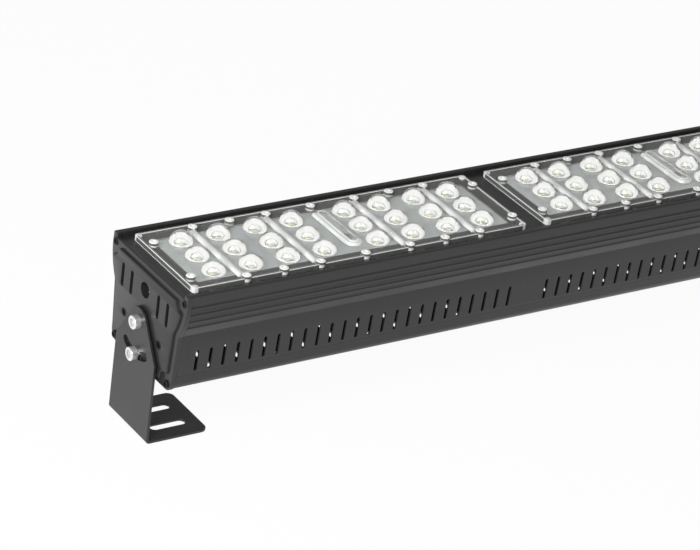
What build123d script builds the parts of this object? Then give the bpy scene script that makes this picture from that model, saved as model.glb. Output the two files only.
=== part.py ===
from build123d import *
import math
import os

os.makedirs("parts", exist_ok=True)

# Linear LED fixture of two lens modules on a finned aluminium housing, standing on two slotted feet.
# Frame: millimetres, X along the housing, Y to the back, Z up, origin on the floor midway between the feet.

# Driving sizes of the whole fixture
module_count = 2
cell_length = 300.0           # one lens module with the part of the housing that carries it
end_margin = 3.5              # housing length beyond the outer cells, at each end
pivot_height = 85.2           # hinge axis above the floor
pivot_rise = 36.2             # hinge axis above the bottom of the housing
lock_drop = 25.4              # lock bolt below the hinge axis
cut_overrun = 1.0             # how far every cutting tool runs past the material

# Housing cross-section: heights of its parts from the bottom up, and half widths from the widest in
bottom_tray_height = 13.0
side_panel_height = 33.5
curve_height = 27.0           # drawn-in side of the heat sink
rim_height = 7.6              # straight side above the drawn-in one
rim_rise = 4.1                # rims above the deck between them
deck_thickness = 4.0
side_half_width = 52.6
rim_lean = 0.5                # how much narrower the rims end
curve_inset = 7.2             # how much narrower the drawn-in side ends
panel_lean = 2.5              # the same for the side panels
tray_lean = 0.5               # the same for the bottom tray
rim_width = 4.1
bottom_corner_radius = 5.5
rim_edge = 0.5                # cut-off edges of the rims
side_steps = 6                # straight steps that draw the curve of each side
corner_steps = 3              # the same for each bottom corner

# Heat sink
side_wall = 3.0
corner_block_height = 8.5     # solid metal under each rim, for the end plate screws
corner_block_width = 8.6
groove_count = 4
groove_pitch = 6.0
groove_radius = 2.3
groove_depth = 1.0
groove_sides = 10             # facets round the tool that cuts a groove
first_groove_drop = 0.2       # uppermost groove below the start of the drawn-in side
fin_pairs = 3
first_fin_side = 13.5         # innermost fin from the centre line, clear of the cable way
fin_pitch = 11.5
fin_thickness = 1.6
fin_height = 14.0
ledge_width = 4.6             # inward lip that the driver tray is screwed to
ledge_thickness = 2.6
wire_hole_diameter = 6.0
wire_hole_shift = 6.5         # wire hole from the module centre, along X
wire_hole_side = -8.0         # wire hole from the centre line, along Y

# Side panels and bottom tray
sheet = 1.5
side_vent_count = 25
side_vent_margin = 33.6       # part of each cell that its row of side vents leaves plain
side_vent_width = 2.6
side_vent_length = 17.0
side_vent_rise = 10.8         # middle of the side vents above the bottom tray
bottom_vent_count = 9
bottom_vent_margin = 87.2     # the same for the bottom vents
bottom_vent_width = 3.4
bottom_vent_length = 48.0
port_diameter = 8.4           # screw port along each lower corner
seam_gap = 0.2                # open joint line between stacked panels

# End plates
panel_rise = 2.3              # raised field in front of the flange
flange_thickness = 3.5
panel_inset = 5.2
panel_bevel = 1.4
bevel_angle = 45.0
panel_drop = 7.9              # top of the raised field below the rims
ear_height = 3.7              # corners of the flange that close the rims
ear_overlap = 0.6             # how far these corners reach past the rims
notch_radius = 8.6
notch_sides = 12              # facets round the notch at each corner screw
top_screw_inset = 4.3         # corner screws from the housing's outline
top_screw_drop = 6.9
low_screw_inset = 5.4
low_screw_rise = 5.0
end_slot_width = 3.8
end_slot_length = 18.6
end_slot_drop = 14.9          # top of the end slots below the rims
inner_slot_side = 18.7
outer_slot_side = 31.3
cable_hole_diameter = 11.8
cable_hole_drop = 20.6        # cable hole below the rims
nut_plate_screw_side = 24.8
nut_plate_screw_drop = 6.2    # below the hinge axis

# Screws: clearance round a shank, and the cap screws of the end plates
screw_clearance = 0.2
thread_clearance = 0.05
end_screw_diameter = 4.0
end_screw_head = 6.4
end_screw_head_height = 2.0
end_screw_length = 14.0
plate_screw_head = 7.4
plate_screw_length = 10.6
head_sides = 8                # facets round a visible screw head
small_screw_sides = 6         # facets round a shank, a small hole or a lens boss
socket_sides = 6
socket_share = 0.55           # hexagon socket across flats, of the head
socket_depth_share = 0.55     # hexagon socket depth, of the head height

# Lens module
lens_gap = 17.6               # between neighbouring lens plates
lens_side_gap = 6.0           # between a lens plate and the rims
lens_corner = 3.0             # cut-off corners of a lens plate
lens_inner_corner = 2.1       # the same inside its lip
lens_thickness = 2.9
lens_lip_rise = 1.6
lens_lip_width = 1.8
column_margin = 27.3          # from a lens plate's end to its outer column of domes
column_gap = 45.04            # between the two middle columns
columns_per_half = 4
row_margin = 19.25            # from a lens plate's long edge to its outer row of domes
row_count = 3
dome_radius = 8.7
dome_sides = 8
dome_ring_share = 0.6         # height of the dome's ring of corners, of its radius
dome_cap_share = 0.36         # radius of the dome's flat top, of its radius
boss_diameter = 7.0
boss_rise = 3.4               # bosses above the lens plate's face
front_boss_inset = 2.4        # bosses along the front edge from that edge
back_boss_inset = 6.6         # bosses along the back edge from that edge
boss_shift = 1.3              # all bosses from the domes' pattern, along X
corner_boss_inset = 4.9       # from a lens plate's end to its corner bosses
front_corner_boss_inset = 14.7  # corner bosses from the front edge
back_corner_boss_inset = 17.4   # the same from the back edge
rib_width = 5.4
rib_margin = 10.5             # from a lens plate's long edges to the ends of the ribs
rib_rise = 2.4
rib_edge = 1.35               # slanted edge along both sides of a rib's top
blister_width = 14.0
blister_length = 54.0
blister_rise = 3.2
blister_wall = 1.6
blister_corner_share = 0.29   # cut-off corners of the wire cover, of its width
blister_shift = 3.5           # blister from the module centre, along X
blister_side = 2.5            # blister from the centre line, along Y
board_pocket_clearance = 0.6

# What lies under the lens
pad_thickness = 0.25
board_margin = 9.7            # from a lens plate's end to its board's end
board_side_margin = 10.5      # from a lens plate's long edge to its board's
board_thickness = 1.0
board_corner = 2.0            # cut-off corners of the board, its pad and their recess
chip_gap = 0.15               # between the LED chips and the lens plate's recess
chip_size = 3.0
chip_height = 0.6
bush_sides = 8
grommet_flange = 9.0
grommet_flange_height = 1.0
grommet_bore = 3.6

# Driver tray and what hangs from it
tray_thickness = 1.2
tray_end_gap = 12.0
tray_slot_width = 10.0
tray_screw_diameter = 3.0
tray_screw_head = 6.0
tray_screw_head_height = 1.6
tray_screw_length = 3.4
tray_screws_per_side = 3
driver_gap = 122.0            # between the cases of neighbouring drivers
driver_width = 46.0
driver_height = 19.0
driver_edge = 1.5
driver_tab_length = 9.0
driver_tab_width = 23.0
driver_tab_thickness = 1.5
driver_socket_width = 18.0
driver_socket_height = 9.0
driver_socket_depth = 6.0
driver_screw_head = 7.0
driver_screw_head_height = 2.0
terminal_length = 22.0
terminal_width = 30.0
terminal_height = 15.0
terminal_edge = 1.5
terminal_poles = 3
terminal_bore = 5.0           # across the corners of a wire opening
terminal_screw_side = 5.5     # clamp screws from the block's middle
terminal_screw_diameter = 3.4
terminal_screw_height = 1.2
terminal_gap = 1.7            # between the terminal block and the tab of the first driver
earth_screw_diameter = 4.0
earth_screw_head = 7.2
earth_screw_head_height = 2.2
earth_screw_inset = 12.2      # from the tray's long edge

# Brackets and their bolts
bracket_thickness = 2.0
bracket_gap = 1.2             # washer thickness between end plate and bracket
bracket_half_width = 27.3
bracket_shoulder_drop = 22.0  # end of the straight sides below the hinge axis
bracket_top_radius = 11.0
bracket_top_sides = 16
foot_length = 51.0
foot_corner_radius = 5.5
bend_radius = 0.9             # inside of the bend
foot_slot_length = 28.5
foot_slot_width = 7.5
foot_slot_side = 11.3
foot_slot_start = 12.2        # slot's near end from the bracket's outer face
bolt_diameter = 6.0
bolt_head = 10.2
bolt_head_height = 4.8
bolt_clearance = 0.25
lock_slot_half_angle = 32.0
washer_diameter = 12.0
nut_plate_thickness = 4.0
nut_plate_half_width = 30.0
nut_plate_rise = 5.8          # above the hinge axis
nut_plate_corner = 3.0

# Heights above the floor and half widths, worked out from the sizes above
housing_bottom = pivot_height - pivot_rise
belt_height = housing_bottom + bottom_tray_height
lip_height = belt_height + side_panel_height
shoulder_height = lip_height + curve_height
rim_top = shoulder_height + rim_height
deck_top = rim_top - rim_rise
deck_bottom = deck_top - deck_thickness
lock_height = pivot_height - lock_drop
rim_half_width = side_half_width - rim_lean
rim_inner_half_width = rim_half_width - rim_width
lip_half_width = side_half_width - curve_inset
belt_half_width = lip_half_width - panel_lean
bottom_half_width = belt_half_width - tray_lean
top_screw_side = side_half_width - top_screw_inset
top_screw_height = rim_top - top_screw_drop
low_screw_side = bottom_half_width - low_screw_inset
low_screw_height = housing_bottom + low_screw_rise
cable_hole_height = rim_top - cable_hole_drop
nut_plate_screw_height = pivot_height - nut_plate_screw_drop

# Lengths along the housing
housing_length = module_count * cell_length + 2 * end_margin
end_plate_depth = panel_rise + flange_thickness
core_length = housing_length - 2 * end_plate_depth
flange_face = housing_length / 2 - panel_rise   # distance of the flange's outer face from the middle
side_vent_pitch = (cell_length - side_vent_margin) / (side_vent_count - 1)
bottom_vent_pitch = (cell_length - bottom_vent_margin) / (bottom_vent_count - 1)
driver_length = cell_length - driver_gap

# Lens module
lens_length = cell_length - lens_gap
lens_width = 2 * (rim_inner_half_width - lens_side_gap)
lens_top = deck_top + lens_thickness
column_pitch = (lens_length - column_gap - 2 * column_margin) / (2 * (columns_per_half - 1))
row_pitch = (lens_width - 2 * row_margin) / (row_count - 1)
first_rib_place = (column_gap + column_pitch) / 2
boss_top = lens_top + boss_rise
corner_boss_reach = lens_length / 2 - corner_boss_inset
board_length = lens_length - 2 * board_margin
board_width = lens_width - 2 * board_side_margin
board_bottom = deck_top + pad_thickness
board_top = board_bottom + board_thickness
pocket_top = board_top + chip_height + chip_gap

# Driver tray
tray_top = lip_height
tray_bottom = tray_top - tray_thickness
tray_half_width = lip_half_width - side_wall - seam_gap


def save(shape, name):
    shape.label = name
    export_step(shape, "parts/" + name + ".step")


def run_along(section, start, length):
    """Extrude a section drawn in Y and Z along X."""
    return extrude(Plane.YZ.offset(start) * section, amount=length, dir=(1, 0, 0))


def run_up(section, low, high):
    """Extrude a section drawn in X and Y upwards from one height to another."""
    return extrude(Pos(0, 0, low) * section, amount=high - low, dir=(0, 0, 1))


def group(pieces):
    """Separate solids that share one node."""
    return Compound([solid for piece in pieces for solid in piece.solids()])


def module_centre(index):
    return (index - (module_count - 1) / 2) * cell_length


def centred(count, pitch):
    return [(i - (count - 1) / 2) * pitch for i in range(count)]


def column_places():
    right = [column_gap / 2 + i * column_pitch for i in range(columns_per_half)]
    return [-x for x in reversed(right)] + right


def polygon(sides, width):
    """Regular outline of a given width across its corners, for what is small or hidden."""
    return RegularPolygon(width / 2, sides)


def cut_corners(length, width, corner):
    """Rectangle about the origin with its corners cut off."""
    return chamfer(Rectangle(length, width).vertices(), corner)


def prism(sides, width, low, high, x=0, y=0):
    return run_up(Pos(x, y) * polygon(sides, width), low, high)


def arc_points(centre_y, centre_z, radius, start, end, steps):
    """Points of a round edge that is drawn with straight steps, between two angles in degrees."""
    angles = [math.radians(start + (end - start) * i / steps) for i in range(steps + 1)]
    return [(centre_y + radius * math.cos(a), centre_z + radius * math.sin(a)) for a in angles]


def mirrored_outline(right):
    """Closed outline from the points of its right half, listed from top to bottom."""
    return Polygon(*[(-y, z) for y, z in right], *reversed(right), align=None)


def side_reach(height):
    """Half width of the drawn-in side of the heat sink at a height."""
    if height >= shoulder_height:
        return side_half_width
    drop = shoulder_height - lip_height
    inset = side_half_width - lip_half_width
    radius = (drop ** 2 + inset ** 2) / (2 * inset)
    return side_half_width - (radius - math.sqrt(radius ** 2 - (shoulder_height - height) ** 2))


def side_points():
    """Drawn-in side of the housing from the shoulder down to the lip."""
    drop = shoulder_height - lip_height
    heights = [shoulder_height - drop * i / side_steps for i in range(side_steps + 1)]
    return [(side_reach(height), height) for height in heights]


def end_screw_holes(side_place, height):
    """Threaded holes at both ends of the core, for the end plate screws."""
    hole = polygon(small_screw_sides, end_screw_diameter + 2 * thread_clearance)
    length = end_screw_length + cut_overrun
    starts = (-core_length / 2 - cut_overrun, core_length / 2 - end_screw_length)
    return [run_along(Pos(side * side_place, height) * hole, start, length)
            for start in starts for side in (-1, 1)]


# Heat sink
def heat_sink_outline():
    rim = [(rim_inner_half_width, deck_top), (rim_inner_half_width, rim_top - rim_edge),
           (rim_inner_half_width + rim_edge, rim_top), (rim_half_width - rim_edge, rim_top),
           (rim_half_width, rim_top - rim_edge)]
    inner_top = deck_bottom - (corner_block_height - deck_thickness)
    block_inner = side_half_width - corner_block_width
    wall_top = inner_top - side_wall
    ledge_top = lip_height + ledge_thickness
    ledge_inner = lip_half_width - side_wall - ledge_width
    inside = [
        (ledge_inner, lip_height), (ledge_inner, ledge_top), (side_reach(ledge_top) - side_wall, ledge_top),
        (side_reach(wall_top) - side_wall, wall_top), (block_inner, inner_top), (block_inner, deck_bottom)]
    return mirrored_outline(rim + side_points() + inside)


def heat_sink():
    section = heat_sink_outline()
    for i in range(groove_count):
        height = shoulder_height - first_groove_drop - i * groove_pitch
        centre = side_reach(height) + groove_radius - groove_depth
        for side in (-1, 1):
            section -= Pos(side * centre, height) * polygon(groove_sides, 2 * groove_radius)
    fin = Rectangle(fin_thickness, fin_height + deck_thickness)
    fin_middle = deck_top - (fin_height + deck_thickness) / 2
    fin_sides = [first_fin_side + i * fin_pitch for i in range(fin_pairs)]
    section += [Pos(side * y, fin_middle) * fin for y in fin_sides for side in (-1, 1)]
    body = run_along(section, -core_length / 2, core_length)
    holes = end_screw_holes(top_screw_side, top_screw_height)
    low, high = deck_bottom - cut_overrun, deck_top + cut_overrun
    wire_hole = Pos(wire_hole_shift, wire_hole_side) * polygon(bush_sides, wire_hole_diameter)
    for index in range(module_count):
        holes.append(run_up(Pos(module_centre(index), 0) * wire_hole, low, high))
    low, high = lip_height - cut_overrun, lip_height + ledge_thickness + cut_overrun
    holes += [prism(small_screw_sides, tray_screw_diameter + 2 * thread_clearance, low, high, x, y)
              for x, y in tray_screw_places()]
    return body - holes


# Side panels: the vented walls between the heat sink and the bottom tray
def side_panel(side):
    top = lip_height
    bottom = belt_height + seam_gap
    foot = side_reach(lip_height) - seam_gap * 2
    section = Polygon(
        (side * (foot - sheet), top), (side * foot, top),
        (side * belt_half_width, bottom), (side * (belt_half_width - sheet), bottom), align=None)
    body = run_along(section, -core_length / 2, core_length)
    opening = Rectangle(side_vent_width, side_vent_length)
    tool = extrude(Plane.XZ.offset(-side * (foot + cut_overrun)) * opening,
                   amount=foot - belt_half_width + sheet + 2 * cut_overrun, dir=(0, -side, 0))
    return body - [
        Pos(module_centre(index) + x, 0, belt_height + side_vent_rise) * tool
        for index in range(module_count) for x in centred(side_vent_count, side_vent_pitch)]


# Bottom tray: the shallow channel that closes the driver space
def bottom_corner(inset):
    centre_side = bottom_half_width - bottom_corner_radius
    centre_height = housing_bottom + bottom_corner_radius
    return arc_points(centre_side, centre_height, bottom_corner_radius - inset, 0, -90, corner_steps)


def bottom_tray_outline(inset):
    return mirrored_outline([(belt_half_width - inset, belt_height)] + bottom_corner(inset))


def bottom_tray():
    outer = bottom_tray_outline(0)
    section = outer - bottom_tray_outline(sheet)
    for side in (-1, 1):
        port = Pos(side * low_screw_side, low_screw_height) * polygon(bush_sides, port_diameter)
        section += port & outer
    body = run_along(section, -core_length / 2, core_length)
    opening = Rectangle(bottom_vent_width, bottom_vent_length)
    tool = run_up(opening, housing_bottom - cut_overrun, housing_bottom + sheet + cut_overrun)
    vents = [
        Pos(module_centre(index) + x, 0, 0) * tool
        for index in range(module_count) for x in centred(bottom_vent_count, bottom_vent_pitch)]
    return body - (vents + end_screw_holes(low_screw_side, low_screw_height))


# End plates
def housing_outline():
    top = [(rim_half_width - rim_edge, rim_top), (rim_half_width, rim_top - rim_edge)]
    return mirrored_outline(top + side_points() + [(belt_half_width, belt_height)] + bottom_corner(0))


def corner_screw_places():
    top = [(side * top_screw_side, top_screw_height) for side in (-1, 1)]
    low = [(side * low_screw_side, low_screw_height) for side in (-1, 1)]
    return top + low


def plate_screw_places():
    return [(side * nut_plate_screw_side, nut_plate_screw_height) for side in (-1, 1)]


def stand_out(section, start, length, taper=0):
    """Extrude a section drawn in Y and Z towards the low X end, drawing it in by a taper."""
    place = Plane(origin=(start, 0, 0), x_dir=(0, -1, 0), z_dir=(-1, 0, 0))
    return extrude(place * section, amount=length, taper=taper)


def end_plate_left():
    """End plate at the low X end, with its raised field facing away from the housing."""
    outline = housing_outline()
    flange = outline - Pos(0, rim_top) * Rectangle(
        2 * (rim_inner_half_width - ear_overlap), 2 * ear_height)
    field = offset(outline, amount=-panel_inset)
    field -= Pos(0, rim_top) * Rectangle(2 * side_half_width, 2 * panel_drop)
    for y, z in corner_screw_places():
        field -= Pos(y, z) * polygon(notch_sides, 2 * notch_radius)
    body = run_along(flange, -flange_face, flange_thickness)
    bevel_start = panel_rise - panel_bevel
    body += stand_out(field, -flange_face, bevel_start)
    body += stand_out(field, -flange_face - bevel_start, panel_bevel, taper=bevel_angle)
    through = end_plate_depth + 2 * cut_overrun
    start = -housing_length / 2 - cut_overrun
    slot = Rectangle(end_slot_width, end_slot_length)
    slot_middle = rim_top - end_slot_drop - end_slot_length / 2
    openings = [Pos(side * y, slot_middle) * slot
                for y in (inner_slot_side, outer_slot_side) for side in (-1, 1)]
    openings.append(Pos(0, cable_hole_height) * Circle(cable_hole_diameter / 2))
    openings += [Pos(0, height) * polygon(small_screw_sides, bolt_diameter + 2 * bolt_clearance)
                 for height in (pivot_height, lock_height)]
    openings += [Pos(y, z) * polygon(small_screw_sides, end_screw_diameter + 2 * screw_clearance)
                 for y, z in corner_screw_places()]
    tools = [run_along(opening, start, through) for opening in openings]
    tools += [at_left_end(countersunk(screw_clearance, through), -housing_length / 2, y, z)
              for y, z in plate_screw_places()]
    return body - tools


def mirrored(shape):
    return mirror(shape, about=Plane.YZ)


def countersunk(clearance, length):
    """Countersunk screw form with its top at the origin, or the hole for it where it has a clearance."""
    sink = (plate_screw_head - end_screw_diameter) / 2
    wide = plate_screw_head / 2 + clearance
    narrow = end_screw_diameter / 2 + clearance
    head = Rot(180, 0, 0) * frustum(head_sides, wide, narrow, sink)
    return head + prism(head_sides, 2 * narrow, -length, -sink)


def hexagon_socket(head, height):
    across = head * socket_share
    depth = height * socket_depth_share
    return Pos(0, 0, height - depth) * extrude(
        RegularPolygon(across / 2, socket_sides, major_radius=False), amount=depth + cut_overrun)


def cap_screw(diameter, head, height, length):
    """Socket head screw with its head's underside at the origin and its head towards +Z."""
    body = prism(head_sides, head, 0, height) - hexagon_socket(head, height)
    return body + prism(small_screw_sides, diameter, -length, 0)


def at_left_end(shape, x, y, z):
    """Stand a Z-up shape so that its top points away from the housing at the low X end."""
    return Pos(x, y, z) * Rot(0, -90, 0) * Rot(0, 0, 90) * shape


def end_plate_screws():
    screw = cap_screw(end_screw_diameter, end_screw_head, end_screw_head_height,
                      flange_thickness + end_screw_length - cut_overrun)
    return group([at_left_end(screw, -flange_face, y, z) for y, z in corner_screw_places()])


def nut_plate_screws():
    sink = (plate_screw_head - end_screw_diameter) / 2
    screw = countersunk(0, plate_screw_length) - Pos(0, 0, -sink) * hexagon_socket(plate_screw_head, sink)
    return group([
        at_left_end(screw, -housing_length / 2, y, z) for y, z in plate_screw_places()])


def nut_plate():
    low = housing_bottom + sheet + port_diameter / 2
    high = pivot_height + nut_plate_rise
    section = Pos(0, (high + low) / 2) * cut_corners(
        2 * nut_plate_half_width, high - low, nut_plate_corner)
    for height in (pivot_height, lock_height):
        section -= Pos(0, height) * polygon(small_screw_sides, bolt_diameter + 2 * thread_clearance)
    for y, z in plate_screw_places():
        section -= Pos(y, z) * polygon(head_sides, end_screw_diameter + 2 * thread_clearance)
    return run_along(section, -core_length / 2, nut_plate_thickness)


# Lens modules
def boss_places():
    """Screw bosses of a lens plate, about the module centre."""
    reach = [first_rib_place + i * column_pitch for i in range(columns_per_half - 1)]
    edge_x = [0] + [side * x for x in reach for side in (-1, 1)]
    corner_x = [-corner_boss_reach, corner_boss_reach]
    half = lens_width / 2
    rows = [
        (edge_x, front_boss_inset - half), (edge_x, half - back_boss_inset),
        (corner_x, front_corner_boss_inset - half), (corner_x, half - back_corner_boss_inset)]
    return [(x + boss_shift, y) for row, y in rows for x in row]


def lens_places():
    return [(x, y) for x in column_places() for y in centred(row_count, row_pitch)]


def frustum(sides, low_radius, high_radius, height):
    """Flat-sided frustum that stands on the origin, given by its corner radii."""
    lean = (low_radius - high_radius) * math.cos(math.pi / sides)
    return extrude(RegularPolygon(low_radius, sides), amount=height,
                   taper=math.degrees(math.atan2(lean, height)))


def dome():
    """Faceted lens dome standing on the plate's face."""
    ring_height = dome_ring_share * dome_radius
    ring_radius = math.sqrt(dome_radius ** 2 - ring_height ** 2)
    low = frustum(dome_sides, dome_radius, ring_radius, ring_height)
    cap = frustum(dome_sides, ring_radius, dome_radius * dome_cap_share, dome_radius - ring_height)
    return low + Pos(0, 0, ring_height) * cap


def light_rib():
    rib = run_up(Rectangle(rib_width, lens_width - 2 * rib_margin), lens_top, lens_top + rib_rise)
    return chamfer(rib.edges().filter_by(Axis.Y).group_by(Axis.Z)[-1], rib_edge)


def wire_blister(wall, low, high):
    """Oblong cover of the wires: its outside, or its hollow where a wall is given."""
    width = blister_width - 2 * wall
    outline = cut_corners(width, blister_length - 2 * wall, width * blister_corner_share)
    return run_up(Pos(blister_shift, blister_side) * outline, low, high)


def lens_plate():
    """Clear lens plate of one module, about the module centre."""
    lip_top = lens_top + lens_lip_rise
    outline = cut_corners(lens_length, lens_width, lens_corner)
    inner = cut_corners(
        lens_length - 2 * lens_lip_width, lens_width - 2 * lens_lip_width, lens_inner_corner)
    plate = run_up(outline, deck_top, lip_top) - run_up(inner, lens_top, lip_top + cut_overrun)
    raised = [prism(small_screw_sides, boss_diameter, deck_top, boss_top, x, y) for x, y in boss_places()]
    single = dome()
    raised += [Pos(x, y, lens_top) * single for x, y in lens_places()]
    rib = light_rib()
    raised += [Pos(side * x, 0, 0) * rib
               for x in (first_rib_place, first_rib_place + 2 * column_pitch) for side in (-1, 1)]
    raised.append(wire_blister(0, lens_top, lens_top + blister_rise))
    pocket = cut_corners(board_length + 2 * board_pocket_clearance,
                         board_width + 2 * board_pocket_clearance, board_corner)
    hollows = [run_up(pocket, deck_top - cut_overrun, pocket_top)]
    hollow_top = lens_top + blister_rise - blister_wall
    hollows.append(wire_blister(blister_wall, pocket_top - cut_overrun, hollow_top))
    return plate + raised - hollows


def plain_screw(head, head_height, diameter, length, x, y, face, up=1):
    """Small screw drawn as two prisms: its head stands on a face, up or down, and its shank passes it."""
    head_ends = sorted((face, face + up * head_height))
    shank_ends = sorted((face, face - up * length))
    return (prism(small_screw_sides, head, *head_ends, x, y)
            + prism(small_screw_sides, diameter, *shank_ends, x, y))


def board_blank(low, thickness):
    """Blank under the lens, with its cut-out round the wire grommet."""
    blank = cut_corners(board_length, board_width, board_corner)
    cut_out = polygon(bush_sides, grommet_flange + 2 * screw_clearance)
    blank -= Pos(wire_hole_shift, wire_hole_side) * cut_out
    return run_up(blank, low, low + thickness)


def led_board():
    return board_blank(board_bottom, board_thickness)


def thermal_pad():
    return board_blank(deck_top, pad_thickness)


def led_chips():
    chip = Box(chip_size, chip_size, chip_height, align=(Align.CENTER, Align.CENTER, Align.MIN))
    return group([Pos(x, y, board_top) * chip for x, y in lens_places()])


def wire_grommet():
    """Rubber bush that lines the wire hole of the deck."""
    flange = prism(bush_sides, grommet_flange, 0, grommet_flange_height)
    sleeve = prism(bush_sides, wire_hole_diameter - 2 * thread_clearance, -deck_thickness, 0)
    low, high = -deck_thickness - cut_overrun, grommet_flange_height + cut_overrun
    bore = prism(bush_sides, grommet_bore, low, high)
    return Pos(wire_hole_shift, wire_hole_side, deck_top) * (flange + sleeve - bore)


def at_module(shape, index):
    return Pos(module_centre(index), 0, 0) * shape


# Driver tray, drivers and terminals
def tray_screw_places():
    reach = core_length / 2 - tray_end_gap
    side = lip_half_width - side_wall - ledge_width / 2
    pitch = 2 * (reach - tray_end_gap) / (tray_screws_per_side - 1)
    return [(x, s * side) for x in centred(tray_screws_per_side, pitch) for s in (-1, 1)]


def driver_tab_places():
    reach = driver_length / 2 + driver_tab_length / 2
    return [(module_centre(i) + side * reach, 0) for i in range(module_count) for side in (-1, 1)]


def driver_tray():
    length = core_length - 2 * tray_end_gap
    section = Rectangle(length, 2 * tray_half_width)
    section -= [Pos(x, y) * polygon(small_screw_sides, tray_screw_diameter + 2 * screw_clearance)
                for x, y in tray_screw_places()]
    section -= [Pos(x, y) * polygon(small_screw_sides, end_screw_diameter + 2 * thread_clearance)
                for x, y in driver_tab_places()]
    section -= Pos(*earth_screw_place()) * polygon(
        small_screw_sides, earth_screw_diameter + 2 * thread_clearance)
    reach = length / 2 - tray_slot_width
    section -= [Pos(x, 0) * Rectangle(tray_slot_width, 2 * tray_slot_width) for x in (-reach, 0, reach)]
    return run_up(section, tray_bottom, tray_top)


def tray_screws():
    return group([
        plain_screw(tray_screw_head, tray_screw_head_height, tray_screw_diameter,
                    tray_screw_length, x, y, tray_bottom, up=-1)
        for x, y in tray_screw_places()])


def led_driver():
    """Slim driver hanging under the tray, about the module centre."""
    middle = tray_bottom - driver_height / 2
    body = Pos(0, 0, middle) * Box(driver_length, driver_width, driver_height)
    body = chamfer(body.edges().filter_by(Axis.X), driver_edge)
    socket = Box(2 * driver_socket_depth, driver_socket_width, driver_socket_height)
    body -= [Pos(side * driver_length / 2, 0, middle) * socket for side in (-1, 1)]
    tab = Rectangle(driver_tab_length, driver_tab_width)
    tab -= polygon(small_screw_sides, end_screw_diameter + 2 * screw_clearance)
    tab = run_up(tab, tray_bottom - driver_tab_thickness, tray_bottom)
    reach = (driver_length + driver_tab_length) / 2
    return body + [Pos(side * reach, 0, 0) * tab for side in (-1, 1)]


def driver_screws():
    return group([
        plain_screw(driver_screw_head, driver_screw_head_height, end_screw_diameter,
                    driver_tab_thickness + tray_thickness, x, y, tray_bottom - driver_tab_thickness, up=-1)
        for x, y in driver_tab_places()])


def terminal_middle():
    tab_end = module_centre(0) - driver_length / 2 - driver_tab_length
    return tab_end - terminal_gap - terminal_length / 2


def terminal_screw_places():
    pole_pitch = terminal_width / terminal_poles
    return [(terminal_middle() + side * terminal_screw_side, y)
            for y in centred(terminal_poles, pole_pitch) for side in (-1, 1)]


def terminal_block():
    """Mains terminal block under the tray, just behind the left end plate."""
    middle = tray_bottom - terminal_height / 2
    body = Pos(terminal_middle(), 0, middle) * Box(terminal_length, terminal_width, terminal_height)
    body = chamfer(body.edges().filter_by(Axis.Y), terminal_edge)
    pole_pitch = terminal_width / terminal_poles
    start = terminal_middle() - terminal_length / 2 - cut_overrun
    length = terminal_length + 2 * cut_overrun
    bores = [run_along(Pos(y, middle) * polygon(small_screw_sides, terminal_bore), start, length)
             for y in centred(terminal_poles, pole_pitch)]
    low = tray_bottom - terminal_height
    seats = [prism(small_screw_sides, terminal_screw_diameter + 2 * thread_clearance,
                   low - cut_overrun, low + terminal_screw_height, x, y)
             for x, y in terminal_screw_places()]
    return body - (bores + seats)


def terminal_screws():
    low = tray_bottom - terminal_height
    return group([prism(small_screw_sides, terminal_screw_diameter, low, low + terminal_screw_height, x, y)
                  for x, y in terminal_screw_places()])


def earth_screw_place():
    return terminal_middle() - terminal_length / 2, tray_half_width - earth_screw_inset


def earth_screw():
    return plain_screw(earth_screw_head, earth_screw_head_height, earth_screw_diameter,
                       tray_thickness, *earth_screw_place(), tray_bottom, up=-1)


# Brackets
def bent_strip(outer):
    """Strip bent to an L between the upright and the foot, its outer face at a given X."""
    far = outer + foot_length
    top = pivot_height + bracket_top_radius
    inner = outer + bracket_thickness
    outside = FilletPolyline((far, 0), (outer, 0), (outer, top), radius=bend_radius + bracket_thickness)
    inside = FilletPolyline(
        (inner, top), (inner, bracket_thickness), (far, bracket_thickness), radius=bend_radius)
    ends = Line((outer, top), (inner, top)) + Line((far, bracket_thickness), (far, 0))
    section = Plane.XZ.offset(-bracket_half_width) * make_face(outside + inside + ends)
    return extrude(section, amount=2 * bracket_half_width, dir=(0, -1, 0))


def bracket_left():
    outer = -housing_length / 2 - bracket_gap - bracket_thickness
    top = Pos(0, pivot_height) * polygon(bracket_top_sides, 2 * bracket_top_radius)
    straight = pivot_height - bracket_shoulder_drop
    plate = Pos(0, straight / 2) * Rectangle(2 * bracket_half_width, straight)
    face = make_hull(top.edges() + plate.edges())
    face -= Pos(0, pivot_height) * Circle(bolt_diameter / 2 + bolt_clearance)
    start = -90 - lock_slot_half_angle
    path = CenterArc((0, pivot_height), lock_drop, start, 2 * lock_slot_half_angle)
    face -= SlotArc(path, bolt_diameter + 2 * bolt_clearance)
    body = bent_strip(outer) & run_along(face, outer, foot_length)
    body = fillet(body.edges().filter_by(Axis.Z).group_by(Axis.X)[-1], foot_corner_radius)
    slot = Pos(outer + foot_slot_start + foot_slot_length / 2) * SlotOverall(
        foot_slot_length, foot_slot_width)
    tool = run_up(slot, -cut_overrun, bracket_thickness + cut_overrun)
    return body - [Pos(0, side * foot_slot_side) * tool for side in (-1, 1)]


def hinge_bolt(height):
    length = bracket_thickness + bracket_gap + end_plate_depth + nut_plate_thickness
    bolt = cap_screw(bolt_diameter, bolt_head, bolt_head_height, length)
    return at_left_end(bolt, -housing_length / 2 - bracket_gap - bracket_thickness, 0, height)


def spacer_washers():
    hole = polygon(small_screw_sides, bolt_diameter + 2 * bolt_clearance)
    ring = polygon(head_sides, washer_diameter) - hole
    return group([
        run_along(Pos(0, height) * ring, -housing_length / 2 - bracket_gap, bracket_gap)
        for height in (pivot_height, lock_height)])


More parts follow.
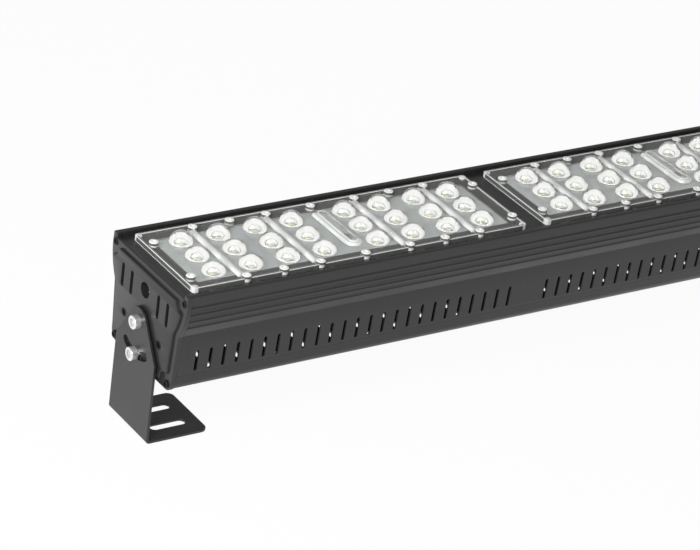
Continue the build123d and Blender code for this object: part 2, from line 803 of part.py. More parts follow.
# Write every piece
save(heat_sink(), "heat_sink")
save(side_panel(-1), "side_panel_front")
save(side_panel(1), "side_panel_back")
save(bottom_tray(), "bottom_tray")
save(driver_tray(), "driver_tray")
save(tray_screws(), "driver_tray_screws")
save(driver_screws(), "driver_screws")
save(terminal_block(), "terminal_block")
save(terminal_screws(), "terminal_screws")
save(earth_screw(), "earth_screw")

plate = lens_plate()
for module in range(module_count):
    number = str(module + 1)
    save(at_module(plate, module), "lens_plate_" + number)
    save(at_module(led_board(), module), "led_board_" + number)
    save(at_module(thermal_pad(), module), "thermal_pad_" + number)
    save(at_module(led_chips(), module), "led_chips_" + number)
    save(at_module(wire_grommet(), module), "wire_grommet_" + number)
    save(at_module(led_driver(), module), "led_driver_" + number)

left_end_pieces = {
    "end_plate": end_plate_left(),
    "end_plate_screws": end_plate_screws(),
    "nut_plate": nut_plate(),
    "nut_plate_screws": nut_plate_screws(),
    "bracket": bracket_left(),
    "pivot_bolt": hinge_bolt(pivot_height),
    "lock_bolt": hinge_bolt(lock_height),
    "spacer_washers": spacer_washers(),
}
for name, piece in left_end_pieces.items():
    save(piece, name + "_left")
    save(mirrored(piece), name + "_right")
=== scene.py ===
import math

import bmesh
import bpy
from mathutils import Euler, Matrix, Vector


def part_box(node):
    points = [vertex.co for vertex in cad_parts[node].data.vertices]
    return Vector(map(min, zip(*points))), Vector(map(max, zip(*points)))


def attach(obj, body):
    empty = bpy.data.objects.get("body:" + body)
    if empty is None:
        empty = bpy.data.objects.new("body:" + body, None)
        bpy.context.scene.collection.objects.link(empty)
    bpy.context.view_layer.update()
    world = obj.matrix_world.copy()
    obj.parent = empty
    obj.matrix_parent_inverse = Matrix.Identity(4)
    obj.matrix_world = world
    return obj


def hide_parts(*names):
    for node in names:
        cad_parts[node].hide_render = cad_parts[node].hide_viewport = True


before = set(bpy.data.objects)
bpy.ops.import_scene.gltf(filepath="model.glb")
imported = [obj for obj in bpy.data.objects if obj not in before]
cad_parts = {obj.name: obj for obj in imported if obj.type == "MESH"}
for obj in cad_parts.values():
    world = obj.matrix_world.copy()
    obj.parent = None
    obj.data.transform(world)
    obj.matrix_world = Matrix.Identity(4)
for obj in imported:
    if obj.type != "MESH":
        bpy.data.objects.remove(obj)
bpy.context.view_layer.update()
mm = 0.001
over = 1.0              # how far a cutter runs past what it cuts, in mm
joinGap = 0.002         # points nearer than this are one, in mm
moduleCentres = (-150.0, 150.0)
scene = bpy.context.scene
print("frame loaded")


# objects and meshes
def newObject(name, data):
    piece = bpy.data.objects.new(name, data)
    scene.collection.objects.link(piece)
    return piece


def removeObject(piece):
    bpy.data.objects.remove(piece, do_unlink=True)


def finalMesh(holder):
    # plain mesh of an object as its modifiers and settings leave it
    depsgraph = bpy.context.evaluated_depsgraph_get()
    return bpy.data.meshes.new_from_object(holder.evaluated_get(depsgraph))


def editMesh(mesh, change):
    bm = bmesh.new()
    bm.from_mesh(mesh)
    change(bm)
    bm.to_mesh(mesh)
    bm.free()


def newMesh(name, fill):
    mesh = bpy.data.meshes.new(name)
    editMesh(mesh, fill)
    return mesh


def cleanMesh(mesh):
    # one point where several meet, and all faces outwards
    def clean(bm):
        bmesh.ops.remove_doubles(bm, verts=bm.verts, dist=joinGap * mm)
        bmesh.ops.recalc_face_normals(bm, faces=bm.faces)
    editMesh(mesh, clean)


def smoothByAngle(mesh, degrees):
    def mark(bm):
        for face in bm.faces:
            face.smooth = True
        for edge in bm.edges:
            edge.smooth = len(edge.link_faces) == 2 and edge.calc_face_angle(0) < math.radians(degrees)
    editMesh(mesh, mark)


def joinMeshes(name, meshes):
    def fill(bm):
        for mesh in meshes:
            bm.from_mesh(mesh)
    return newMesh(name, fill)


def mirrorMesh(mesh):
    # the other end's part, with its faces turned outwards again
    mesh.transform(Matrix.Scale(-1, 4, (1, 0, 0)))
    mesh.flip_normals()
    return mesh


def pointMesh(name, places, joined=False):
    # loose points, or a line through them
    mesh = bpy.data.meshes.new(name)
    edges = [(i, i + 1) for i in range(len(places) - 1)] if joined else []
    mesh.from_pydata([Vector(place) * mm for place in places], edges, [])
    return mesh


def upwards(mesh, start):
    mesh.transform(Matrix.Translation((0, 0, start * mm)))
    return mesh


def alongX(mesh, start):
    # local X, Y and Z of a sheet become Y, Z and X of the fixture
    mesh.transform(Matrix(((0, 0, 1, start * mm), (1, 0, 0, 0), (0, 1, 0, 0), (0, 0, 0, 1))))
    return mesh


# outlines in mm
def arcPoints(centreX, centreY, radius, startDegrees, endDegrees, steps):
    points = []
    for i in range(steps + 1):
        angle = math.radians(startDegrees + (endDegrees - startDegrees) * i / steps)
        points.append((centreX + radius * math.cos(angle), centreY + radius * math.sin(angle)))
    return points


def circlePoints(centreX, centreY, radius, steps=40):
    return arcPoints(centreX, centreY, radius, 0, 360 * (steps - 1) / steps, steps - 1)


def slotPoints(centreX, centreY, length, width, steps):
    # upright slot with round ends
    reach = (length - width) / 2
    top = arcPoints(centreX, centreY + reach, width / 2, 0, 180, steps)
    return top + arcPoints(centreX, centreY - reach, width / 2, 180, 360, steps)


def roundedRectangle(length, width, radius, steps=8):
    points = []
    for signX, signY, start in ((1, 1, 0), (-1, 1, 90), (-1, -1, 180), (1, -1, 270)):
        centre = (signX * (length / 2 - radius), signY * (width / 2 - radius))
        points += arcPoints(*centre, radius, start, start + 90, steps)
    return points


def mirroredLoop(half):
    return half + [(-x, y) for x, y in reversed(half)]


# solids
def flatSheet(name, outlines, thickness, rounding=0.0, steps=2):
    # sheet in local XY from 0 up to its thickness, and rounded edges stay inside the outline
    curve = bpy.data.curves.new(name, "CURVE")
    curve.dimensions = "2D"
    curve.fill_mode = "BOTH"
    curve.extrude = (thickness / 2 - rounding) * mm
    curve.bevel_depth = rounding * mm
    curve.bevel_resolution = steps
    curve.offset = -rounding * mm
    for outline in outlines:
        spline = curve.splines.new("POLY")
        spline.points.add(len(outline) - 1)
        for point, place in zip(spline.points, outline):
            point.co = (place[0] * mm, place[1] * mm, 0, 1)
        spline.use_cyclic_u = True
    holder = newObject(name, curve)
    mesh = upwards(finalMesh(holder), thickness / 2)
    removeObject(holder)
    bpy.data.curves.remove(curve)
    cleanMesh(mesh)
    return mesh


def block(name, outlines, low, high, rounding=0.0, steps=2):
    # flat sheet between two heights
    return upwards(flatSheet(name, outlines, high - low, rounding, steps), low)


def carve(mesh, steps):
    # unites or cuts a mesh with other meshes in turn, keeping each one's material
    body = newObject("carved", mesh)
    helpers = [body]
    for other, operation in steps:
        helper = newObject("carveHelper", other)
        helpers.append(helper)
        modifier = body.modifiers.new(operation, "BOOLEAN")
        modifier.object = helper
        modifier.operation = operation
        modifier.solver = "EXACT"
        modifier.material_mode = "TRANSFER"
    result = finalMesh(body)
    for helper in helpers:
        removeObject(helper)
    cleanMesh(result)
    return result


def revolved(name, profile, steps):
    # turns (radius, height) pairs about Z, from the axis outwards and back to the axis
    def fill(bm):
        previous = None
        for radius, height in profile:
            places = circlePoints(0, 0, radius, steps) if radius else [(0, 0)]
            ring = [bm.verts.new((x * mm, y * mm, height * mm)) for x, y in places]
            for i in range(steps if previous else 0):
                j = (i + 1) % steps
                corners = [previous[i % len(previous)], previous[j % len(previous)],
                           ring[j % len(ring)], ring[i % len(ring)]]
                bm.faces.new([corner for k, corner in enumerate(corners) if corner not in corners[:k]])
            previous = ring
        bmesh.ops.recalc_face_normals(bm, faces=bm.faces)
    return newMesh(name, fill)


def domedCap(name, radius, height, rings, steps):
    # half an ellipsoid on a short foot, which sinks into what it joins
    sink = 0.5
    profile = [(0, -sink), (radius, -sink)]
    for i in range(rings):
        angle = math.radians(90 * i / rings)
        profile.append((radius * math.cos(angle), height * math.sin(angle)))
    return revolved(name, profile + [(0, height)], steps)


# node trees
def put(tree, kind, sockets=None, **settings):
    # one node with its settings, and its inputs linked or set by name or number
    node = tree.nodes.new(kind)
    for key, value in settings.items():
        setattr(node, key, value)
    for key, value in (sockets or {}).items():
        target = node.inputs[key]
        if isinstance(value, bpy.types.NodeSocket):
            tree.links.new(value, target)
        else:
            target.default_value = value
    return node


def mathNode(tree, operation, first, second):
    return put(tree, "ShaderNodeMath", {0: first, 1: second}, operation=operation).outputs[0]


def rangeNode(tree, value, low, high, newLow, newHigh):
    return put(tree, "ShaderNodeMapRange", {0: value, 1: low, 2: high, 3: newLow, 4: newHigh}).outputs[0]


def geometryTree(name, sizes):
    # an empty geometry tree with a named float input for each size
    tree = bpy.data.node_groups.new(name, "GeometryNodeTree")
    tree.interface.new_socket("Geometry", in_out="INPUT", socket_type="NodeSocketGeometry")
    for size in sizes:
        tree.interface.new_socket(size, in_out="INPUT", socket_type="NodeSocketFloat")
    tree.interface.new_socket("Geometry", in_out="OUTPUT", socket_type="NodeSocketGeometry")
    inputs = tree.nodes.new("NodeGroupInput")
    outputs = tree.nodes.new("NodeGroupOutput")
    return tree, inputs.outputs, outputs.inputs[0]


def spreadOut(tree, points, shape, scale=(1, 1, 1)):
    sockets = {"Points": points, "Instance": shape, "Scale": scale}
    return put(tree, "GeometryNodeInstanceOnPoints", sockets).outputs[0]


def closeTree(tree, geometry, material, result):
    # makes instances real and gives them their material
    real = put(tree, "GeometryNodeRealizeInstances", {"Geometry": geometry})
    dressed = put(tree, "GeometryNodeSetMaterial", {"Geometry": real.outputs[0], "Material": material})
    tree.links.new(dressed.outputs[0], result)


def runTree(name, tree, baseMesh, sizes):
    # runs a tree on a mesh and returns the plain result
    holder = newObject(name, baseMesh)
    modifier = holder.modifiers.new(name, "NODES")
    modifier.node_group = tree
    for item in tree.interface.items_tree:
        if item.in_out == "INPUT" and item.name in sizes:
            modifier[item.identifier] = sizes[item.name]
    mesh = finalMesh(holder)
    holder.modifiers.clear()
    removeObject(holder)
    return mesh


def rowSpots(tree, given):
    # a row of points along X about each point of the base mesh
    steps = mathNode(tree, "ADD", given["Count"], -1.0)
    span = mathNode(tree, "MULTIPLY", steps, given["Pitch"])
    start = mathNode(tree, "MULTIPLY", span, -0.5)
    first = put(tree, "ShaderNodeCombineXYZ", {"X": start})
    step = put(tree, "ShaderNodeCombineXYZ", {"X": given["Pitch"]})
    row = put(tree, "GeometryNodeMeshLine", {
        "Count": given["Count"], "Start Location": first.outputs[0], "Offset": step.outputs[0]},
        mode="OFFSET", count_mode="TOTAL")
    rows = spreadOut(tree, given["Geometry"], row.outputs[0])
    return put(tree, "GeometryNodeRealizeInstances", {"Geometry": rows}).outputs[0]


def extrudedFill(tree, curves, depth):
    # closed solid from flat closed curves, standing on their plane
    filled = put(tree, "GeometryNodeFillCurve", {"Curve": curves})
    up = put(tree, "ShaderNodeCombineXYZ", {"Z": depth})
    lifted = put(tree, "GeometryNodeExtrudeMesh", {
        "Mesh": filled.outputs[0], "Offset": up.outputs[0], "Offset Scale": 1.0, "Individual": False},
        mode="FACES")
    base = put(tree, "GeometryNodeFlipFaces", {"Mesh": filled.outputs[0]})
    both = put(tree, "GeometryNodeJoinGeometry")
    tree.links.new(lifted.outputs[0], both.inputs[0])
    tree.links.new(base.outputs[0], both.inputs[0])
    merge = {"Geometry": both.outputs[0], "Distance": joinGap / 2 * mm}
    return put(tree, "GeometryNodeMergeByDistance", merge).outputs[0]


def slotRowTree(material):
    # round-ended slots in a row on each point of the base mesh, sizes in metres
    tree, given, result = geometryTree("slotRow", ["Count", "Pitch", "Width", "Length", "Depth"])
    spots = rowSpots(tree, given)
    box = put(tree, "GeometryNodeCurvePrimitiveQuadrilateral", {
        "Width": given["Width"], "Height": given["Length"]})
    bend = mathNode(tree, "MULTIPLY", given["Width"], 0.499)  # just under half keeps the arcs apart
    slot = put(tree, "GeometryNodeFilletCurve", {
        "Curve": box.outputs[0], "Radius": bend, "Count": 6}, mode="POLY")
    solid = extrudedFill(tree, slot.outputs[0], given["Depth"])
    closeTree(tree, spreadOut(tree, spots, solid), material, result)
    return tree


def slotRow(name, centres, count, pitch, width, length, depth):
    # closed cutters for a row of slots, sizes in mm
    return runTree(name, slotRowTree(powderCoat), pointMesh(name, centres), {
        "Count": float(count), "Pitch": pitch * mm, "Width": width * mm, "Length": length * mm,
        "Depth": depth * mm})


def finRowTree(material):
    # upright fins side by side along X, running along Y, on each point of the base mesh
    tree, given, result = geometryTree("finRow", ["Count", "Pitch", "Thickness", "Height", "Run"])
    spots = rowSpots(tree, given)
    size = put(tree, "ShaderNodeCombineXYZ", {
        "X": given["Thickness"], "Y": given["Run"], "Z": given["Height"]})
    fin = put(tree, "GeometryNodeMeshCube", {"Size": size.outputs[0]})
    closeTree(tree, spreadOut(tree, spots, fin.outputs[0]), material, result)
    return tree


def barTree(material):
    # bar of flattened round section along the base mesh's line, sizes in metres
    tree, given, result = geometryTree("bar", ["Width", "Rise"])
    path = put(tree, "GeometryNodeMeshToCurve", {"Mesh": given["Geometry"]})
    half = mathNode(tree, "MULTIPLY", given["Width"], 0.5)
    ring = put(tree, "GeometryNodeCurvePrimitiveCircle", {"Resolution": 20, "Radius": half})
    bar = put(tree, "GeometryNodeCurveToMesh", {
        "Curve": path.outputs[0], "Profile Curve": ring.outputs[0], "Fill Caps": True})
    flat = mathNode(tree, "DIVIDE", given["Rise"], half)
    scale = put(tree, "ShaderNodeCombineXYZ", {"X": 1.0, "Y": 1.0, "Z": flat})
    pressed = put(tree, "GeometryNodeTransform", {"Geometry": bar.outputs[0], "Scale": scale.outputs[0]})
    closeTree(tree, pressed.outputs[0], material, result)
    return tree


def scatterTree(name, template, material):
    # puts the template on every point of the base mesh
    tree, given, result = geometryTree(name, ["Size"])
    shape = put(tree, "GeometryNodeObjectInfo", {"Object": template, "As Instance": True})
    spread = spreadOut(tree, given["Geometry"], shape.outputs["Geometry"], given["Size"])
    closeTree(tree, spread, material, result)
    return tree


def scatter(name, template, places, material):
    holder = newObject(name + "Template", template)
    tree = scatterTree(name, holder, material)
    mesh = runTree(name, tree, pointMesh(name, places), {"Size": 1.0})
    removeObject(holder)
    return mesh


def finishPiece(name, mesh, nodeNames, body, material=None):
    mesh.name = name
    if material is not None:
        mesh.materials.clear()
        mesh.materials.append(material)
    piece = newObject(name, mesh)
    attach(piece, body)
    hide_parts(*nodeNames)
    return piece


# materials
def surfaceGroup(name, numbers):
    # an empty shader group that takes a tone and numbers, and gives colour, roughness and height
    group = bpy.data.node_groups.new(name, "ShaderNodeTree")
    for key, value in numbers.items():
        socket = group.interface.new_socket(key, in_out="INPUT", socket_type="NodeSocketFloat")
        socket.default_value = value
    tone = group.interface.new_socket("Tone", in_out="INPUT", socket_type="NodeSocketColor")
    tone.default_value = (0.1, 0.1, 0.1, 1)
    group.interface.new_socket("Color", in_out="OUTPUT", socket_type="NodeSocketColor")
    group.interface.new_socket("Roughness", in_out="OUTPUT", socket_type="NodeSocketFloat")
    group.interface.new_socket("Height", in_out="OUTPUT", socket_type="NodeSocketFloat")
    place = put(group, "ShaderNodeTexCoord").outputs["Object"]
    return group, group.nodes.new("NodeGroupInput").outputs, group.nodes.new("NodeGroupOutput").inputs, place


def closeSurface(group, result, tone, gain, rough, height):
    color = put(group, "ShaderNodeVectorMath", {0: tone, "Scale": gain}, operation="SCALE")
    group.links.new(color.outputs[0], result["Color"])
    group.links.new(rough, result["Roughness"])
    group.links.new(height, result["Height"])


def powderGrainGroup():
    # fine orange peel, slow tone drift and a trace of dust, for coated and plated metal
    group, given, result, place = surfaceGroup("powderGrain", {"Scale": 900.0, "Drift": 0.15, "Rough": 0.5})
    fine = put(group, "ShaderNodeTexNoise", {
        "Vector": place, "Scale": given["Scale"], "Detail": 3.0, "Roughness": 0.6})
    slow = put(group, "ShaderNodeTexNoise", {"Vector": place, "Scale": 14.0, "Detail": 2.0})
    speck = put(group, "ShaderNodeTexNoise", {"Vector": place, "Scale": 260.0, "Detail": 2.0})
    wander = rangeNode(group, slow.outputs["Fac"], 0.3, 0.7, -0.5, 0.5)
    drift = mathNode(group, "MULTIPLY", wander, given["Drift"])
    dust = rangeNode(group, speck.outputs["Fac"], 0.45, 0.75, 0.0, 0.1)
    gain = mathNode(group, "ADD", mathNode(group, "ADD", drift, dust), 1.0)
    rough = mathNode(group, "ADD", drift, given["Rough"])
    closeSurface(group, result, given["Tone"], gain, rough, fine.outputs["Fac"])
    return group


def mouldFlowGroup():
    # slow flow marks of clear moulded plastic
    group, given, result, place = surfaceGroup("mouldFlow", {"Scale": 60.0, "Rough": 0.1})
    flow = put(group, "ShaderNodeTexNoise", {"Vector": place, "Scale": given["Scale"], "Detail": 1.0})
    gain = rangeNode(group, flow.outputs["Fac"], 0.3, 0.7, 0.97, 1.0)
    spread = rangeNode(group, flow.outputs["Fac"], 0.3, 0.7, 0.6, 1.4)
    rough = mathNode(group, "MULTIPLY", spread, given["Rough"])
    closeSurface(group, result, given["Tone"], gain, rough, flow.outputs["Fac"])
    return group


def newSurface(name, group, values, bump, distance):
    # material fed by a surface group, and its shader
    material = bpy.data.materials.new(name)
    material.use_nodes = True
    tree = material.node_tree
    shader = tree.nodes["Principled BSDF"]
    surface = put(tree, "ShaderNodeGroup", values, node_tree=group)
    lump = put(tree, "ShaderNodeBump", {
        "Height": surface.outputs["Height"], "Strength": bump, "Distance": distance * mm})
    tree.links.new(surface.outputs["Color"], shader.inputs["Base Color"])
    tree.links.new(surface.outputs["Roughness"], shader.inputs["Roughness"])
    tree.links.new(lump.outputs["Normal"], shader.inputs["Normal"])
    return material, shader


def coatedMetal(name, tone, roughness, metallic=0.0, scale=900.0, bump=0.2, gloss=0.5):
    values = {"Tone": (*tone, 1), "Rough": roughness, "Scale": scale}
    material, shader = newSurface(name, powderGrain, values, bump, 0.05)
    shader.inputs["Metallic"].default_value = metallic
    shader.inputs["Specular IOR Level"].default_value = gloss
    return material


def clearPlastic(name, tone, roughness, transmission):
    values = {"Tone": (*tone, 1), "Rough": roughness}
    material, shader = newSurface(name, mouldFlow, values, 0.15, 0.2)
    shader.inputs["Transmission Weight"].default_value = transmission
    shader.inputs["IOR"].default_value = 1.45
    return material


powderGrain = powderGrainGroup()
mouldFlow = mouldFlowGroup()
powderCoat = coatedMetal("powderCoat", (0.02, 0.02, 0.0205), 0.36, gloss=0.46)
blackScrew = coatedMetal("blackScrew", (0.008, 0.008, 0.009), 0.5, scale=1500.0, bump=0.1, gloss=0.2)
brightSteel = coatedMetal("brightSteel", (0.82, 0.82, 0.81), 0.28, metallic=0.8, scale=2200.0, bump=0.12)
zincSheet = coatedMetal("zincSheet", (0.5, 0.51, 0.52), 0.38, metallic=1.0, scale=300.0, bump=0.08)
boardMask = coatedMetal("boardMask", (0.43, 0.47, 0.49), 0.35, scale=700.0, bump=0.05)
softPad = coatedMetal("softPad", (0.3, 0.3, 0.31), 0.8, scale=500.0)
chipResin = coatedMetal("chipResin", (0.8, 0.75, 0.4), 0.25, scale=1500.0, bump=0.05)
bushRubber = coatedMetal("bushRubber", (0.05, 0.075, 0.065), 0.6, scale=600.0)
driverCase = coatedMetal("driverCase", (0.55, 0.56, 0.57), 0.35, metallic=1.0, scale=400.0)
creamBlock = coatedMetal("creamBlock", (0.7, 0.67, 0.56), 0.5, scale=500.0, bump=0.1)
earthBrass = coatedMetal("earthBrass", (0.72, 0.52, 0.22), 0.3, metallic=1.0, scale=1500.0, bump=0.1)
lensClear = clearPlastic("lensClear", (0.985, 0.99, 0.965), 0.03, 0.9)
# the edge, top and rib copies below are whiter, less clear copies of the clear lens: painted highlights on rounded
# edges, corner pads, the lip, boss tops and ribs
lensHighlightEdge = clearPlastic("lensHighlightEdge", (0.98, 0.985, 0.975), 0.12, 0.25)
# the wall copy is a greyer copy of the clear lens: painted shade on upright walls and boss sides
lensShadeWall = clearPlastic("lensShadeWall", (0.4, 0.42, 0.39), 0.3, 0.75)
lensHighlightTop = clearPlastic("lensHighlightTop", (0.97, 0.975, 0.95), 0.2, 0.05)
lensHighlightRib = clearPlastic("lensHighlightRib", (0.96, 0.97, 0.95), 0.22, 0.35)
print("materials made")


# finishes of the CAD nodes that stay as they are
plainNodes = {
    zincSheet: ["driver_tray", "driver_tray_screws", "driver_screws", "terminal_screws",
                "nut_plate_left", "nut_plate_right", "spacer_washers_left", "spacer_washers_right"],
    creamBlock: ["terminal_block"],
    earthBrass: ["earth_screw"],
    boardMask: ["led_board_1", "led_board_2"],
    softPad: ["thermal_pad_1", "thermal_pad_2"],
    chipResin: ["led_chips_1", "led_chips_2"],
    bushRubber: ["wire_grommet_1", "wire_grommet_2"],
    driverCase: ["led_driver_1", "led_driver_2"],
}
for material, nodeNames in plainNodes.items():
    for nodeName in nodeNames:
        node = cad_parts[nodeName]
        node.data.materials.clear()
        node.data.materials.append(material)


# housing section, which the heat sink, panels, tray and end plates share
section = {
    "rimTop": 130.1, "rimHalf": 52.1, "rimInner": 48.0, "rimRound": 0.9, "deckTop": 126.0,
    "deckBottom": 122.0, "shoulder": 122.5, "sideHalf": 52.6, "lip": 95.5, "lipHalf": 45.4,
    "belt": 62.0, "beltHalf": 42.9, "bottom": 49.0, "bottomHalf": 42.4, "cornerRound": 8.0,
    "grooveTop": 122.3, "groovePitch": 6.0, "grooveCount": 4, "grooveRadius": 2.3, "grooveDepth": 0.85,
    "wall": 3.0, "ledge": 4.6, "ledgeThick": 2.6, "coreHalf": 44.0, "coreTurn": 117.5,
    "sheet": 1.5, "seam": 0.2, "edge": 0.15,
}
coreHalf = (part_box("heat_sink")[1].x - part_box("heat_sink")[0].x) / 2 / mm
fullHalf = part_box("end_plate_right")[1].x / mm


def sideReach(height):
    # half width of the drawn-in side at a height
    if height >= section["shoulder"]:
        return section["sideHalf"]
    drop = section["shoulder"] - section["lip"]
    inset = section["sideHalf"] - section["lipHalf"]
    radius = (drop ** 2 + inset ** 2) / (2 * inset)
    return section["sideHalf"] - radius + math.sqrt(radius ** 2 - (section["shoulder"] - height) ** 2)


def groovedReach(height):
    reach = sideReach(height)
    for i in range(section["grooveCount"]):
        middle = section["grooveTop"] - i * section["groovePitch"]
        away = abs(height - middle)
        if away < section["grooveRadius"]:
            centre = sideReach(middle) + section["grooveRadius"] - section["grooveDepth"]
            reach = min(reach, centre - math.sqrt(section["grooveRadius"] ** 2 - away ** 2))
    return reach


def outerReach(height):
    # half width of the closed housing outline at a height
    if height >= section["lip"]:
        return sideReach(height)
    if height >= section["belt"]:
        share = (section["lip"] - height) / (section["lip"] - section["belt"])
        return section["lipHalf"] + (section["beltHalf"] - section["lipHalf"]) * share
    share = (section["belt"] - height) / (section["belt"] - section["bottom"])
    return section["beltHalf"] + (section["bottomHalf"] - section["beltHalf"]) * share


def sideLine(reachAt, top, bottom, step):
    count = int((top - bottom) / step)
    heights = [top - (top - bottom) * i / count for i in range(count + 1)]
    return [(reachAt(height), height) for height in heights]


def rimTopLine(innerHalf):
    # rounded top of the rim, from its inner side at a half width to its outer side
    bend = section["rimRound"]
    level = section["rimTop"] - bend
    inner = arcPoints(innerHalf + bend, level, bend, 180, 90, 4)
    return inner + arcPoints(section["rimHalf"] - bend, level, bend, 90, 3, 4)


def lowCorner(corner, inset, steps):
    side = section["bottomHalf"] - corner
    return arcPoints(side, section["bottom"] + corner, corner - inset, 0, -90, steps)


# heat sink
fins = {"count": 3, "pitch": 11.5, "side": 25.0, "thickness": 1.6, "height": 14.0, "embed": 2.0,
        "endGap": 0.3}
wireHole = {"x": 6.5, "y": -8.0, "radius": 3.0, "low": 120.0, "high": 128.0}


def buildHeatSink():
    ledgeSide = section["lipHalf"] - section["wall"] - section["ledge"]
    ledgeTop = section["lip"] + section["ledgeThick"]
    half = [(section["rimInner"], section["deckTop"])] + rimTopLine(section["rimInner"])
    half += sideLine(groovedReach, section["shoulder"], section["lip"], 0.25)
    half += [(ledgeSide, section["lip"]), (ledgeSide, ledgeTop),
             (sideReach(ledgeTop) - section["wall"], ledgeTop),
             (section["coreHalf"], section["coreTurn"]), (section["coreHalf"], section["deckBottom"])]
    mesh = alongX(flatSheet("heatSink", [mirroredLoop(half)], 2 * coreHalf), -coreHalf)
    mesh.materials.append(powderCoat)
    middle = section["deckBottom"] - fins["height"] / 2 + fins["embed"] / 2
    places = [(side * fins["side"], 0, middle) for side in (-1, 1)]
    rows = runTree("finRow", finRowTree(powderCoat), pointMesh("finRow", places), {
        "Count": float(fins["count"]), "Pitch": fins["pitch"] * mm, "Thickness": fins["thickness"] * mm,
        "Height": (fins["height"] + fins["embed"]) * mm, "Run": 2 * (coreHalf - fins["endGap"]) * mm})
    rows.transform(Matrix.Rotation(math.radians(90), 4, "Z"))
    holes = []
    for centre in moduleCentres:
        outline = circlePoints(centre + wireHole["x"], wireHole["y"], wireHole["radius"], 24)
        holes.append(block("wireHole", [outline], wireHole["low"], wireHole["high"]))
    mesh = carve(mesh, [(rows, "UNION"), (joinMeshes("wireHoles", holes), "DIFFERENCE")])
    smoothByAngle(mesh, 28)
    finishPiece("heatSink", mesh, ["heat_sink"], "housing", powderCoat)


buildHeatSink()
print("heat sink made")


# vented side panels
vents = {"count": 25, "pitch": 11.1, "width": 2.6, "length": 17.0, "height": 72.8}


def buildSidePanel(side):
    top = section["lip"]
    low = section["belt"] + section["seam"] / 3
    topHalf = section["lipHalf"] - 2 * section["seam"]
    lean = (topHalf - section["beltHalf"]) / (top - low)
    outline = [(-coreHalf, low), (coreHalf, low), (coreHalf, top), (-coreHalf, top)]
    mesh = flatSheet("sidePanel", [outline], section["sheet"], section["edge"], 1)
    centres = [(centre, vents["height"], -over) for centre in moduleCentres]
    cutters = slotRow("sideVents", centres, vents["count"], vents["pitch"], vents["width"], vents["length"],
                      section["sheet"] + 2 * over)
    mesh = carve(mesh, [(cutters, "DIFFERENCE")])
    # the flat sheet stands up, leans and comes out to the housing's face
    for vertex in mesh.vertices:
        x, z, depth = vertex.co
        face = section["beltHalf"] + (z / mm - low) * lean - section["sheet"] + depth / mm
        vertex.co = (x, side * face * mm, z)
    cleanMesh(mesh)
    smoothByAngle(mesh, 40)
    word = "front" if side < 0 else "back"
    finishPiece("sidePanel." + word, mesh, ["side_panel_" + word], "housing", powderCoat)


for side in (-1, 1):
    buildSidePanel(side)
print("side panels made")


# bottom tray
bottomTray = {
    "ventCount": 9, "ventPitch": 26.6, "ventWidth": 4.4, "ventLength": 48.0,
    "port": 7.98, "portPlace": (37.0, 54.0), "portShort": 0.1,
}


def trayOutline(inset):
    return [(section["beltHalf"] - inset, section["belt"])] + lowCorner(section["cornerRound"], inset, 10)


def buildBottomTray():
    channel = mirroredLoop(trayOutline(0)) + mirroredLoop(trayOutline(section["sheet"]))[::-1]
    body = alongX(flatSheet("channel", [channel], 2 * coreHalf, section["edge"], 1), -coreHalf)
    portSide, portHeight = bottomTray["portPlace"]
    portHalf = coreHalf - bottomTray["portShort"]
    ports = []
    for side in (-1, 1):
        outline = circlePoints(side * portSide, portHeight, bottomTray["port"] / 2)
        ports.append(alongX(flatSheet("port", [outline], 2 * portHalf), -portHalf))
    centres = [(centre, 0, section["bottom"] - over) for centre in moduleCentres]
    cutters = slotRow("bottomVents", centres, bottomTray["ventCount"], bottomTray["ventPitch"],
                      bottomTray["ventWidth"], bottomTray["ventLength"], section["sheet"] + 2 * over)
    mesh = carve(body, [(joinMeshes("ports", ports), "UNION"), (cutters, "DIFFERENCE")])
    smoothByAngle(mesh, 32)
    finishPiece("bottomTray", mesh, ["bottom_tray"], "housing", powderCoat)


buildBottomTray()
print("bottom tray made")


# feet
foot = {
    "thickness": 2.0, "gap": 1.2, "halfWidth": 27.3, "shoulder": 63.2, "topRadius": 11.0, "length": 51.0,
    "cornerRound": 5.5, "bend": 0.9, "bendReach": 8.0, "pivot": 85.2, "pivotHole": 3.25,
    "lockDrop": 25.4, "lockHalfAngle": 32.0, "slotLength": 28.5, "slotWidth": 7.5, "slotSide": 11.3,
    "slotStart": 12.2, "edge": 0.25,
}


def uprightOutline():
    # straight sides up to the shoulder, then tangents to the round top
    half = foot["halfWidth"]
    rise = foot["pivot"] - foot["shoulder"]
    lean = math.degrees(math.asin(foot["topRadius"] / math.hypot(half, rise)) + math.atan2(rise, half))
    arc = arcPoints(0, foot["pivot"], foot["topRadius"], 90 - lean, 90 + lean, 20)
    return [(half, -over), (half, foot["shoulder"])] + arc + [(-half, foot["shoulder"]), (-half, -over)]


def lockSlotEnd(degrees, turn):
    place = math.radians(degrees)
    endY = foot["lockDrop"] * math.cos(place)
    endZ = foot["pivot"] + foot["lockDrop"] * math.sin(place)
    return arcPoints(endY, endZ, foot["pivotHole"], degrees + turn, degrees + turn + 180, 10)[1:-1]


def lockSlotPoints():
    # arc slot about the hinge, with round ends
    low = -90 - foot["lockHalfAngle"]
    high = -90 + foot["lockHalfAngle"]
    outer = arcPoints(0, foot["pivot"], foot["lockDrop"] + foot["pivotHole"], low, high, 20)
    inner = arcPoints(0, foot["pivot"], foot["lockDrop"] - foot["pivotHole"], high, low, 20)
    return outer + lockSlotEnd(high, 0) + inner + lockSlotEnd(low, 180)


def footPlan(outer, far):
    # flat foot with round far corners, and room left for the bend
    half = foot["halfWidth"]
    corner = foot["cornerRound"]
    neck = outer + foot["bendReach"]
    plan = [(outer - over, -half - over), (neck, -half - over), (neck, -half)]
    plan += arcPoints(far - corner, -half + corner, corner, -90, 0, 8)
    plan += arcPoints(far - corner, half - corner, corner, 0, 90, 8)
    return plan + [(neck, half), (neck, half + over), (outer - over, half + over)]


